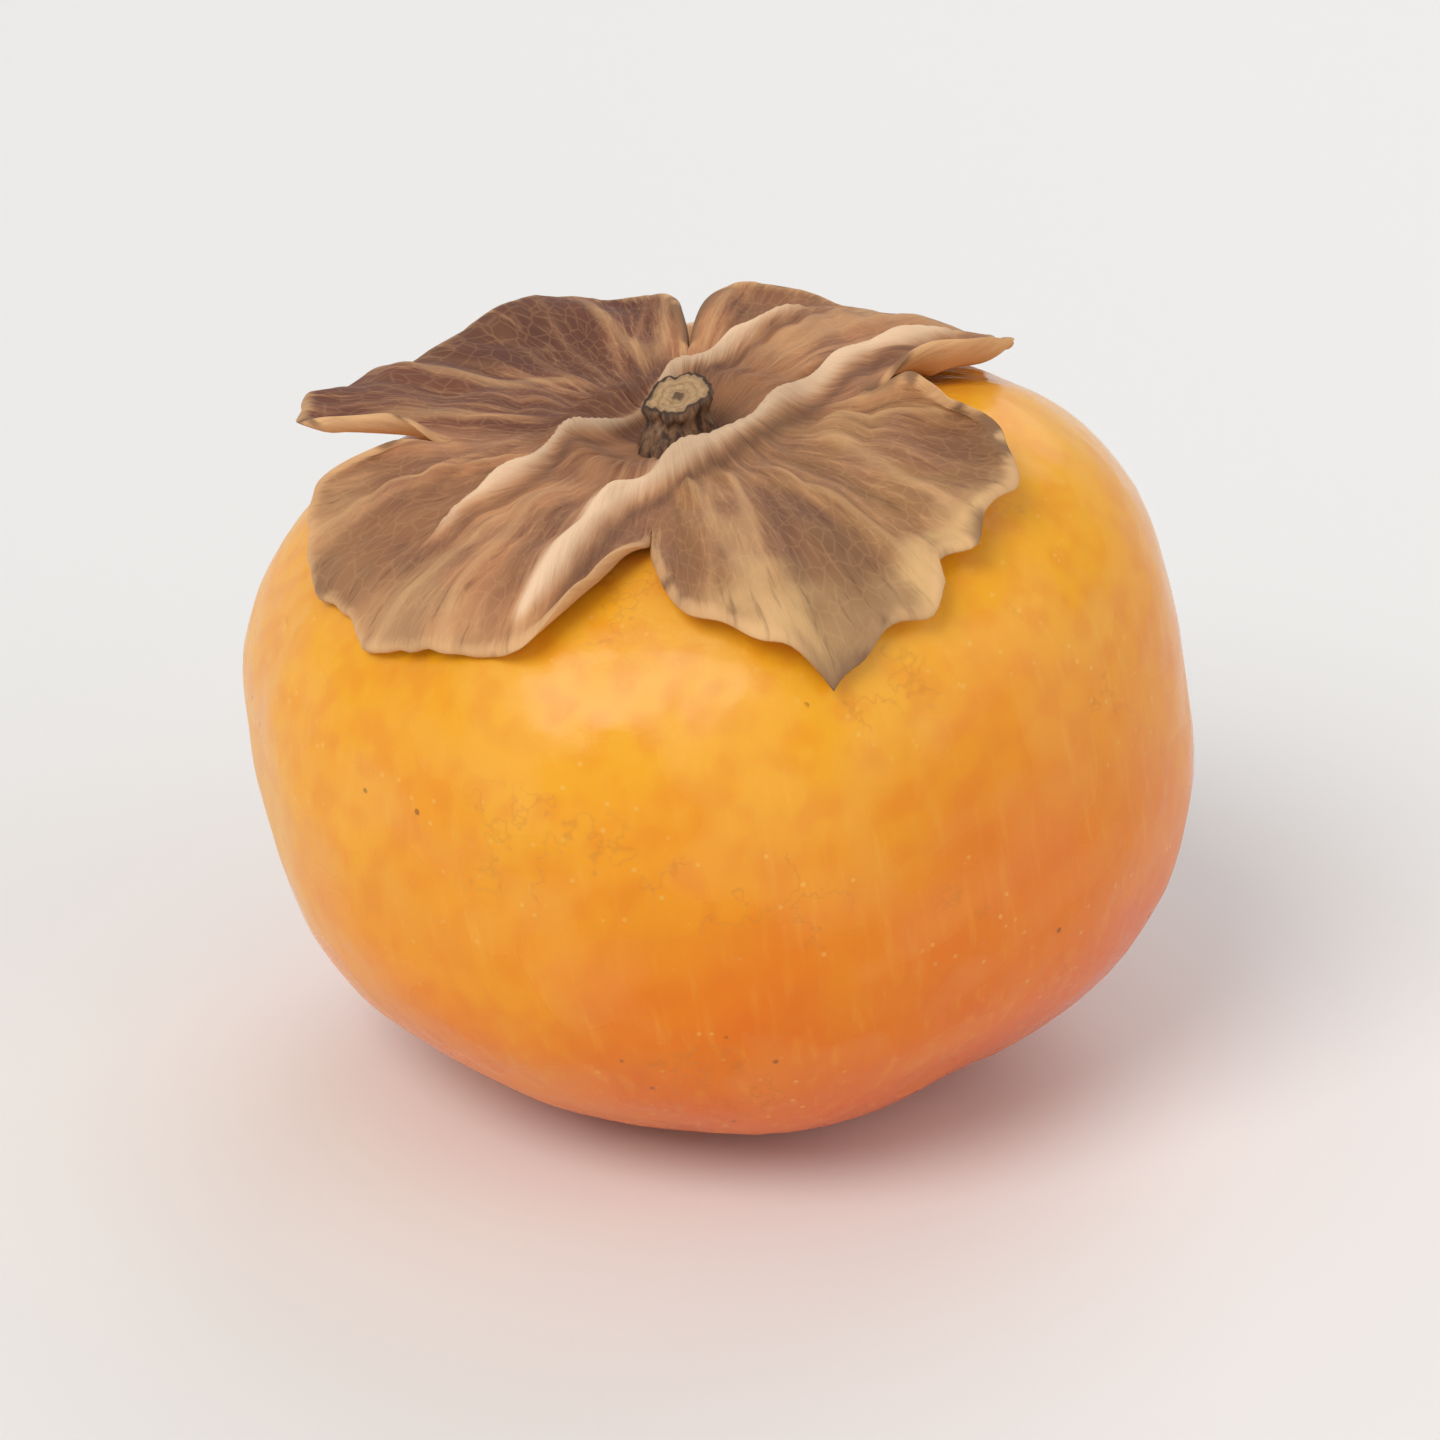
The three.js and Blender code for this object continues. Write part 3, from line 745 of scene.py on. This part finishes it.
def creases(plan):
    """The long creases: how high they stand above the sheet, and the painted shadow on their shaded
    side.
    """
    x, y = plan[..., 0], plan[..., 1]
    along = x * math.cos(CREASE_ANGLE) + y * math.sin(CREASE_ANGLE)
    off = y * math.cos(CREASE_ANGLE) - x * math.sin(CREASE_ANGLE)
    off = off + CREASE_WANDER * layered(plan, CREASE_WANDER_LAYERS)
    uneven = np.clip(CREASE_EVENNESS + layered(plan, CREASE_UNEVEN_LAYERS), *CREASE_RISE_LIMITS)
    bent = smooth(-along, *CREASE_BEND_RANGE)
    height, crease_painted_shadow = 0 * x, 0 * x
    for offset, bend, start, end, rise, breadth in CREASES:
        body = smooth(along, start, start + CREASE_TAPER) * smooth(-along, -end, CREASE_TAPER - end)
        narrowed = breadth * (CREASE_END_BREADTH + (1 - CREASE_END_BREADTH) * body)
        past = off - offset - bend * bent
        height = np.maximum(height, rise * uneven * body * crest_profile(past / narrowed))
        # A painted shadow: a narrow band beside each crest, on its shaded side.
        crease_painted_shadow = np.maximum(crease_painted_shadow, body * bell((past + 1.5 * narrowed) / (0.5 * narrowed)))
    return height, crease_painted_shadow


def rim_distance(plan, outline):
    """How far each point of a lobe's plan is from its outline, and the way in from there."""
    nearest = np.linalg.norm(plan[:, :, None, :] - outline, axis=-1).argmin(-1)
    distance, away = np.full(nearest.shape, np.inf), np.zeros(plan.shape)
    start = outline[nearest]
    for step in (-1, 1):
        line = outline[np.clip(nearest + step, 0, len(outline) - 1)] - start
        reached = ((plan - start) * line).sum(-1) / np.maximum((line**2).sum(-1), 1e-18)
        gap = plan - start - line * np.clip(reached, 0, 1)[..., None]
        far = np.linalg.norm(gap, axis=-1)
        away = np.where((far < distance)[..., None], gap, away)
        distance = np.minimum(far, distance)
    inward = away / np.maximum(distance, 1e-9)[..., None]
    inward[-1] = inward[-2]
    return distance, inward


def flat(radius, phi):
    return at_angle(radius, phi, 0.0)[..., :2]


def lobe_grid(index):
    """One lobe and its quarter of the disc as rings of points in plan, and where they are on it."""
    lobe, next_lobe = LOBES[index], LOBES[(index + 1) % len(LOBES)]
    g = SimpleNamespace(index=index, lobe=lobe)
    t = np.linspace(-1, 1, LOBE_COLUMNS, endpoint=False)
    g.side, g.share = np.sign(t), np.sin(QUARTER * np.abs(t))
    g.phi = FIRST_LOBE_ANGLE + QUARTER * index + QUARTER / 2 * g.share * g.side
    g.circle = at_angle(1.0, g.phi, 0.0)
    g.off = off_tip(lobe, g.side * g.share)
    g.sinus, g.notch = (
        np.where(g.side < 0, lobe[key], next_lobe[key]) for key in ("sinus", "notch")
    )
    even_edge = lobe_edge(lobe, g.sinus, g.off)
    ragged = lobe["reach"] * EDGE_RAGGEDNESS * layered(g.circle, EDGE_LAYERS)
    g.edge = even_edge + ragged * smooth(even_edge - g.sinus, *EDGE_RAGGED_RANGE)

    disc = np.linspace(SOCKET_RADIUS, DISC_EDGE - 2 * DISC_GAP, DISC_ROWS, endpoint=False)
    disc = disc[:, None] + 0 * g.phi
    out = np.sin(QUARTER * np.linspace(0, 1, LOBE_ROWS + 1))[:, None]
    g.radius, even = (
        np.concatenate([disc, lerp(disc[-1] + DISC_GAP, edge, out)]) for edge in (g.edge, even_edge)
    )
    g.plan = at_angle(g.radius, g.phi, 0.0)
    g.on_lobe = smooth(g.radius, RIDGE_RADIUS, DISC_EDGE + DISC_BLEND)
    g.along = smooth(g.radius, DISC_EDGE - 3 * MM, lobe["reach"])
    g.rim, _ = rim_distance(g.plan[..., :2], flat(g.edge, g.phi))
    depth, inward = rim_distance(flat(even, g.phi), flat(even_edge, g.phi))
    g.rolled_share = np.clip(1 - depth / ROLL_BAND, 0, 1)
    g.inward = np.concatenate([inward, 0 * inward[..., :1]], -1)
    return g


def veins(g):
    """How far the veins stand up from the sheet: they fan out from the disc."""
    turned = g.side * g.share * QUARTER / 2
    height = 0 * g.radius
    for n, start in enumerate(VEINS):
        spread = lerp(VEINS_GATHERED, 1.0, g.along) * start * QUARTER / 2
        wobble = VEIN_WOBBLE * np.sin(g.radius / VEIN_WOBBLE_LENGTH + 1.7 * n + g.index)
        strength = MIDRIB_STRENGTH if start == 0 else SIDE_VEIN_STRENGTH
        gap = (turned - spread - wobble) * g.radius
        height = np.maximum(height, strength * bell(gap / VEIN_WIDTH))
    return height * smooth(g.radius, RIDGE_RADIUS, DISC_EDGE + 2 * MM) * (1 - 0.6 * g.along)


def curl(s, turned):
    """How far in and up a strip of unit width comes if it bends ever more, to turned at its end."""
    places, weights = np.polynomial.legendre.leggauss(CURL_SAMPLES)
    across, up = 0 * s, 0 * s
    for place, weight in zip((places + 1) / 2, weights / 2):
        angle = turned * (s * place) ** CURL_ONSET
        across = across + weight * s * (1 - np.cos(angle))
        up = up + weight * s * np.sin(angle)
    return across, up


def rolled_up(g, here, facing, under):
    """The underside of the sheet with its edge rolled up, and the way that it faces there."""
    s = g.rolled_share
    clockwise, tip, other = g.lobe["rolls"]
    roll = lerp(tip, np.where(g.side < 0, clockwise, other), smooth(g.share, *ROLL_CHANGE_RANGE))
    roll = (1 + layered(g.circle, ROLL_LAYERS)) * roll * (1 - bell(g.off / POINT_BREADTH))
    free = smooth(g.radius, g.sinus, g.sinus + ROLL_FREE_FROM_NOTCH)
    turned = np.clip(roll, -1, ROLL_LIMIT) * free
    bend_in, bend_up = (ROLL_BAND * bend for bend in curl(s, turned))
    turn = turned * s**CURL_ONSET
    inward = g.inward - facing * (g.inward * facing).sum(-1, keepdims=True)
    base = here + facing * (under + bend_up)[..., None] + inward * bend_in[..., None]
    return base, unit(facing * np.cos(turn)[..., None] + inward * np.sin(turn)[..., None])


def lobe_sheets(index):
    """The under and upper faces of a lobe and its quarter of the disc, and facts for its colour."""
    g = lobe_grid(index)
    here, facing = crown_under(g.radius, g.phi[None, :] + 0 * g.radius)
    facing = unit(lerp(np.array([0, 0, 1.0]), facing, g.on_lobe[..., None]))
    crease, crease_painted_shadow = (
        part * smooth(g.rim, *CREASE_RIM_RANGE) * smooth(g.radius, *CREASE_SOCKET_RANGE)
        for part in creases(g.plan)
    )
    calm = 1 - CREASE_CALM * np.clip(crease / (0.6 * CREASE_RISE), 0, 1)

    # The dry sheet is folded into sharp pleats with broad hollows between them, and crumpled. Both
    # grow from the disc outwards, and are calm on the creases.
    fan = at_angle(FAN_RADIUS, g.phi, FAN_STRETCH * g.radius)
    pleat = 0.7 - 1.3 * np.sqrt(layered(fan, PLEAT_LAYERS) ** 2 + 0.01)
    pleat = np.maximum(pleat, PLEAT_FLOOR)
    crumple = np.abs(layered(here, CRUMPLE_LAYERS)) - 0.6
    wavy = g.on_lobe * calm * (PLEAT_HEIGHT * pleat + CRUMPLE_HEIGHT * crumple)
    disc_folds = layered(fan, DISC_FOLD_LAYERS) * smooth(g.radius, *DISC_FOLD_RANGE)
    disc_folds = disc_folds * (1 - g.on_lobe) * calm
    ruffle = RUFFLE_HEIGHT * layered(g.circle, RUFFLE_LAYERS) * bell(g.rim / RUFFLE_BAND)
    raised = lobe_lift(g) + wavy * (1 - 0.7 * g.rolled_share) + ruffle * g.on_lobe
    raised = (raised + np.hypot(raised, SEAT_EASING)) / 2
    under = raised + lerp(-DISC_SINK, CALYX_SEAT, g.on_lobe)
    base, up = rolled_up(g, here, facing, under)

    vein = veins(g)
    rounding = np.sqrt(1 - (1 - np.clip(g.rim / RIM_ROUNDING, 0, 1)) ** 2)
    thick = (LOBE_THICKNESS * RIM_SHARE_OF_THICKNESS - THIN_RIM) * rounding + THIN_RIM
    thick = thick + disc_thickness(g.radius) + VEIN_HEIGHT * vein * calm + disc_folds + crease
    top = base + up * thick[..., None]

    died = smooth(layered(here, DIED_LAYERS), *DIED_RANGE)
    at_point = smooth(g.lobe["point"], *DIED_POINT_RANGE) * bell(g.off / POINT_BREADTH)
    cloud = layered(here, CLOUD_LAYERS)
    near_middle = 1 - 0.7 * smooth(g.share, 0.7, 1)
    tints = {
        key: g.lobe[key] * near_middle + 0 * g.radius for key in ("dark", "green", "bleached")
    }
    tints["bleached"] = tints["bleached"] * smooth(g.along + 0.06 * cloud, *BLEACHED_RANGE)
    facts = {
        "rim": 1 - np.clip(g.rim / PALE_RIM, 0, 1),
        "vein": vein,
        "along": g.along,
        "died": np.maximum(died, at_point),
        "fan": fan,
        # where the pleats get painted highlight and painted shade
        "pleat_painted_light_and_shade": pleat * g.on_lobe * calm,
        "crease": crease / CREASE_RISE,
        # where the creases get a painted shadow
        "crease_painted_shadow": crease_painted_shadow,
        "cloud": cloud,
        **tints,
    }
    return base, top, facts


def make_calyx():
    quarters = [lobe_sheets(i) for i in range(len(LOBES))]
    under, top = (np.concatenate([q[face] for q in quarters], 1) for face in (0, 1))
    facts = {key: np.concatenate([q[2][key] for q in quarters], 1) for key in quarters[0][2]}
    socket = top[:1] - (0, 0, DISC_EXTRA_THICKNESS + 0.1 * MM)
    own = np.concatenate([under, top[::-1], socket])
    both = {key: np.concatenate([f, f[::-1], f[:1]]) for key, f in facts.items()}
    upper = 0 * facts["rim"]
    both["below"] = np.concatenate([1 + upper, upper, upper[:1]])
    make_piece("dry_calyx", own, both, "calyx", calyx_material())


# The stem's stub and the style.


def make_stem():
    floor = crown_under(np.array([0.01 * MM]), np.array([0.0]))[0][0, 2] + SOCKET_FLOOR
    brim = floor + DISC_EXTRA_THICKNESS
    end = brim + STEM_LENGTH
    angle = angles_round(STEM_COLUMNS)
    side_z = np.linspace(floor, end - CUT_BEVEL, STEM_ROWS)[:, None]
    inset = np.array(CUT_RINGS)[:, None]
    z = np.concatenate([side_z, end + 0 * inset])
    shrink = np.concatenate([1 + 0 * side_z, inset])
    on_cut = shrink < 1
    rise = (z - floor) / (end - floor)

    collar = bell((z - brim - 0.8 * MM) / (1.1 * MM)) + bell((z - end + 0.3 * MM) / (0.9 * MM))
    flare = STEM_FLARE * bell((z - brim + 0.3 * MM) / (0.9 * MM))
    ribs = 1 + RIB_DEPTH * np.cos(STEM_RIBS * angle + 2 * rise)
    around = at_angle(2 * MM, angle + 0 * z, 0.0)
    around[..., 2] = z * BARK_STRETCH
    bark = layered(around, BARK_LAYERS)
    r = (STEM_RADIUS * ribs + STEM_COLLAR * collar + bark + flare) * shrink

    # The cut is slanted and dished, with a groove round a pith that stands up a little.
    slant = CUT_SLANT * r * np.cos(angle - 1) * smooth(rise, 0.6, 1)
    dished = CUT_DISH * (1 - shrink) + CUT_GROOVE * bell((shrink - 0.3) / 0.14)
    dished = (dished - PITH_RISE * bell(shrink / 0.2)) * on_cut
    splinter = layered(at_angle(r, angle, 0.0), SPLINTER_LAYERS) * on_cut
    up = smooth(z, floor, end)
    x = STEM_BEND * up**2 + r * np.cos(angle)
    y = STEM_BEND * 0.4 * up + r * np.sin(angle)
    own = np.stack([x, y, z + slant - dished + splinter], -1)
    facts = {"own": own, "cut": smooth(1 - shrink, 0, 0.05) + 0 * r, "rings": shrink + 0 * r}
    make_piece("stem_stub", own, facts, "stem", stem_material())


def make_style():
    root = skin_at(np.array([-QUARTER]), np.array([0.0]))[0, 2]
    down = np.linspace(*STYLE_RANGE, STYLE_ROWS)[:, None]
    angle = angles_round(STYLE_COLUMNS)
    profile = STYLE_POINT + (1 - STYLE_POINT) * bell((down - STYLE_ROOT) / STYLE_TAPER)
    r = STYLE_RADIUS * profile * np.sqrt(np.clip(1 - down**8, 0.02, 1))
    r = r * (1 + 0.2 * np.cos(4 * angle + 3 * down))
    own = at_angle(r, angle + 0 * down, root - STYLE_LENGTH * down)
    out = unit(own * (1, 1, 0) + 1e-9)
    own = own + out * layered(own, STYLE_LAYERS)[..., None]
    facts = {"own": own}
    make_piece("style_remnant_fine", own, facts, "style_remnant", style_material())


# The studio: a pale floor, soft light from three sides and the camera.
FLOOR_RADIUS = 12.0
FLOOR_DROP = 0.05 * MM
# Each light's name, its azimuth, elevation and softness in degrees, its strength and its colour.
LIGHTS = (
    ("key", -38, 46, 34, 1.5, (1.0, 0.985, 0.96)),
    ("fill", 66, 24, 50, 0.4, (0.97, 0.985, 1.0)),
    ("rim", 160, 40, 40, 0.5, (1.0, 1.0, 1.0)),
)
SKY_COLOUR = (0.98, 0.985, 1.0, 1)
HORIZON_FADE = (0.02, 0.3, 0.86, 0.5)  # from and to which height, and the strength at each
LENS_MM = 110
SENSOR_MM = 36
NEAREST = 0.01
VIEW_WIDTH = 0.108  # what the frame takes in, at the fruit
ELEVATION = math.radians(23)
AIM = Vector((0, 0, 0.0265))


def make_floor():
    bpy.ops.mesh.primitive_circle_add(vertices=96, radius=FLOOR_RADIUS, fill_type="NGON")
    floor = bpy.context.object
    floor.name = "floor"
    floor.location.z = -FLOOR_DROP
    floor.data.materials.append(floor_material())


def add_light(name, azimuth, elevation, softness, strength, colour):
    """A far, round soft light; azimuth 0 is in front of the part and 90 to its right."""
    light = bpy.data.lights.new(name, "SUN")
    light.angle = math.radians(softness)
    light.energy = strength
    light.color = colour
    lamp = bpy.data.objects.new(name, light)
    bpy.context.scene.collection.objects.link(lamp)
    turn, up = math.radians(azimuth), math.radians(elevation)
    where = Vector((math.sin(turn) * math.cos(up), -math.cos(turn) * math.cos(up), math.sin(up)))
    lamp.rotation_euler = (-where).to_track_quat("-Z", "Y").to_euler()


def light_scene():
    for light in LIGHTS:
        add_light(*light)
    world = bpy.data.worlds.new("studio")
    world.use_nodes = True
    nodes, links = world.node_tree.nodes, world.node_tree.links
    sky = nodes["Background"]
    place = nodes.new("ShaderNodeTexCoord")
    up = nodes.new("ShaderNodeSeparateXYZ")
    links.new(place.outputs["Generated"], up.inputs[0])
    # Bright at the horizon, so that the floor has no edge, and darker overhead.
    fade = nodes.new("ShaderNodeMapRange")
    fade.interpolation_type = "SMOOTHSTEP"
    for socket, value in zip(("From Min", "From Max", "To Min", "To Max"), HORIZON_FADE):
        fade.inputs[socket].default_value = value
    links.new(up.outputs["Z"], fade.inputs["Value"])
    links.new(fade.outputs["Result"], sky.inputs["Strength"])
    sky.inputs["Color"].default_value = SKY_COLOUR
    bpy.context.scene.world = world
    bpy.context.scene.view_settings.view_transform = "Standard"


def place_camera():
    data = bpy.data.cameras.new("camera")
    data.lens = LENS_MM
    data.sensor_width = SENSOR_MM
    data.clip_start = NEAREST
    camera = bpy.data.objects.new("camera", data)
    bpy.context.scene.collection.objects.link(camera)
    distance = VIEW_WIDTH * LENS_MM / SENSOR_MM
    back = Vector((0, -math.cos(ELEVATION), math.sin(ELEVATION)))
    camera.location = AIM + back * distance
    camera.rotation_euler = (-back).to_track_quat("-Z", "Y").to_euler()
    bpy.context.scene.camera = camera


make_fruit()
make_calyx()
make_stem()
make_style()
make_floor()
light_scene()
place_camera()
